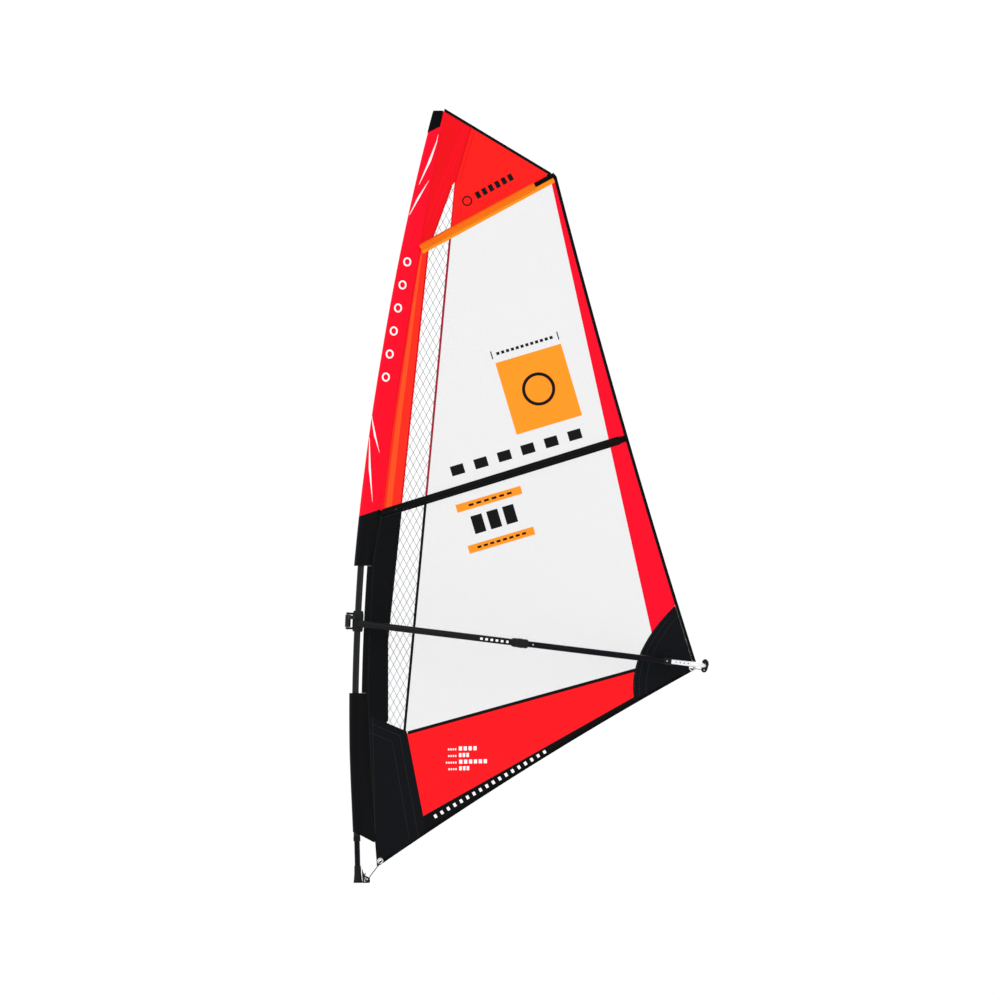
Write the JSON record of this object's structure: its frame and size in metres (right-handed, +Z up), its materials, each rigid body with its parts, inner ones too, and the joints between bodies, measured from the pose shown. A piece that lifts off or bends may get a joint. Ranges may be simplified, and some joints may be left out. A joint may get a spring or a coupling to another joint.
{
  "type": "windsurf sail rig",
  "caption": "Windsurf rig: curved tubular mast on a mast foot, triangular sail with clear windows and battens, and a wishbone boom clamped to the mast.",
  "frame": {"origin": "centre of the mast foot's flat underside, on the mast's axis", "axes": "+X aft towards the clew, +Y to starboard, +Z up the mast"},
  "size_m": [1.9838, 0.4446, 4.2197],
  "materials": {
    "red_cloth": "satin",
    "orange_red_cloth": "satin",
    "black_cloth": "matt",
    "patch_cloth": "satin",
    "orange_cloth": "satin",
    "black_webbing": "matt",
    "clear_film": "glossy",
    "scrim_film": "glossy",
    "batten_glassfibre": "smooth",
    "mast_laminate": "satin",
    "anodised_black": "satin",
    "silver_aluminium": "satin",
    "black_plastic": "moulded",
    "lever_plastic": "moulded",
    "white_nylon": "moulded",
    "grip_rubber": "matt",
    "grip_foam": "matt",
    "stainless_steel": "satin",
    "rope": "braided"
  },
  "bodies": {
    "base": {"foot_cup": "black_plastic", "extension_tube": "anodised_black", "pulley_block": "black_plastic", "sheave_axle": "stainless_steel", "downhaul_cleat": "white_nylon", "downhaul_line": "rope"},
    "foot_button": {"foot_button": "stainless_steel"},
    "downhaul_sheave_port": {"downhaul_sheave_port": "white_nylon"},
    "downhaul_sheave_starboard": {"downhaul_sheave_starboard": "white_nylon"},
    "rig": {"mast_lower": "mast_laminate", "mast_upper": "mast_laminate", "mast_ferrule": "mast_laminate", "head_cap": "black_webbing", "extension_collar": "black_plastic", "luff_sleeve_upper": "red_cloth", "luff_sleeve_middle": "black_cloth", "luff_sleeve_lower": "black_cloth", "cutout_strip": "black_cloth", "luff_panel_upper": "orange_red_cloth", "luff_panel_lower": "black_cloth", "scrim": "scrim_film", "head_panel": "orange_red_cloth", "window_upper": "clear_film", "window_lower": "clear_film", "leech_panel": "red_cloth", "foot_panel": "red_cloth", "foot_band": "black_cloth", "tack_patch": "patch_cloth", "clew_patch": "patch_cloth", "head_tape": "black_webbing", "leech_tape": "black_webbing", "top_batten_pocket": "orange_cloth", "middle_batten_pocket": "black_cloth", "top_batten": "batten_glassfibre", "top_batten_cap": "black_plastic", "middle_batten": "batten_glassfibre", "middle_batten_cap": "black_plastic", "tack_ring": "stainless_steel", "clew_ring": "stainless_steel"},
    "collar_button": {"collar_button": "stainless_steel"},
    "boom_head": {"boom_head": "black_plastic", "head_liner": "grip_rubber", "lever_pin": "stainless_steel"},
    "clamp_lever": {"clamp_lever": "lever_plastic"},
    "boom_arms": {"front_arm_port": "grip_foam", "front_arm_starboard": "grip_foam", "rear_arm_port": "anodised_black", "rear_arm_starboard": "anodised_black", "arm_coupler_port": "black_plastic", "arm_coupler_starboard": "black_plastic"},
    "coupler_button_port": {"coupler_button_port": "stainless_steel"},
    "coupler_button_starboard": {"coupler_button_starboard": "stainless_steel"},
    "tail_button_port": {"tail_button_port": "stainless_steel"},
    "tail_button_starboard": {"tail_button_starboard": "stainless_steel"},
    "boom_tail": {"tail_tube": "silver_aluminium", "tail_fitting": "black_plastic", "outhaul_axle": "stainless_steel", "outhaul_cleat": "white_nylon", "outhaul_line": "rope"},
    "outhaul_sheave": {"outhaul_sheave": "white_nylon"}
  },
  "joints": [
    {"name": "extension_length", "type": "slide", "parent": "base", "child": "rig", "axis": [-0.024, 0, 0.9997], "range_m": [-0.08, 0.16], "stiffness_N_per_m": 20000, "springref_m": 0.00422, "deforming": ["downhaul_line"]},
    {"name": "foot_release", "type": "slide", "parent": "base", "child": "foot_button", "axis": [1, 0, 0], "range_m": [0, 0.002], "stiffness_N_per_m": 200},
    {"name": "downhaul_sheave_port_spin", "type": "hinge", "parent": "base", "child": "downhaul_sheave_port", "pos_m": [0.05, 0, 0.02], "axis": [0, 1, 0], "continuous": true},
    {"name": "downhaul_sheave_starboard_spin", "type": "hinge", "parent": "base", "child": "downhaul_sheave_starboard", "pos_m": [0.05, 0, 0.02], "axis": [0, 1, 0], "continuous": true},
    {"name": "collar_release", "type": "slide", "parent": "rig", "child": "collar_button", "axis": [1, 0, 0], "range_m": [0, 0.002], "stiffness_N_per_m": 200},
    {"name": "boom_height", "type": "slide", "parent": "rig", "child": "boom_head", "axis": [0.0433, 0, 0.9991], "range_m": [-0.28, 0.12], "stiffness_N_per_m": 10000, "springref_m": 0.00417},
    {"name": "clamp_lever_swing", "type": "hinge", "parent": "boom_head", "child": "clamp_lever", "pos_m": [-0.0548, 0, 1.42844], "axis": [-0.0448, 0, -0.999], "range_deg": [0, 120]},
    {"name": "boom_pitch", "type": "hinge", "parent": "boom_head", "child": "boom_arms", "pos_m": [-0.00084, 0, 1.41501], "axis": [0, 1, 0], "range_deg": [-10, 5], "stiffness_Nm_per_rad": 4000, "springref_deg": -0.59},
    {"name": "coupler_button_port_travel", "type": "slide", "parent": "boom_arms", "child": "coupler_button_port", "axis": [0, 1, 0], "range_m": [0, 0.003], "stiffness_N_per_m": 200},
    {"name": "coupler_button_starboard_travel", "type": "slide", "parent": "boom_arms", "child": "coupler_button_starboard", "axis": [0, -1, 0], "range_m": [0, 0.003], "stiffness_N_per_m": 200},
    {"name": "tail_button_port_travel", "type": "slide", "parent": "boom_arms", "child": "tail_button_port", "axis": [0, 1, 0], "range_m": [0, 0.002], "stiffness_N_per_m": 200},
    {"name": "tail_button_starboard_travel", "type": "slide", "parent": "boom_arms", "child": "tail_button_starboard", "axis": [0, -1, 0], "range_m": [0, 0.002], "stiffness_N_per_m": 200},
    {"name": "boom_length", "type": "slide", "parent": "boom_arms", "child": "boom_tail", "axis": [0.9926, 0, -0.1211], "range_m": [0, 0.23], "deforming": ["outhaul_line"]},
    {"name": "outhaul_sheave_spin", "type": "hinge", "parent": "boom_tail", "child": "outhaul_sheave", "pos_m": [1.88612, 0, 1.15962], "axis": [0, 1, 0], "continuous": true}
  ],
  "couplings": [
    {"joint": "boom_pitch", "follows": "boom_height", "rad_per_m": 0.536}
  ]
}
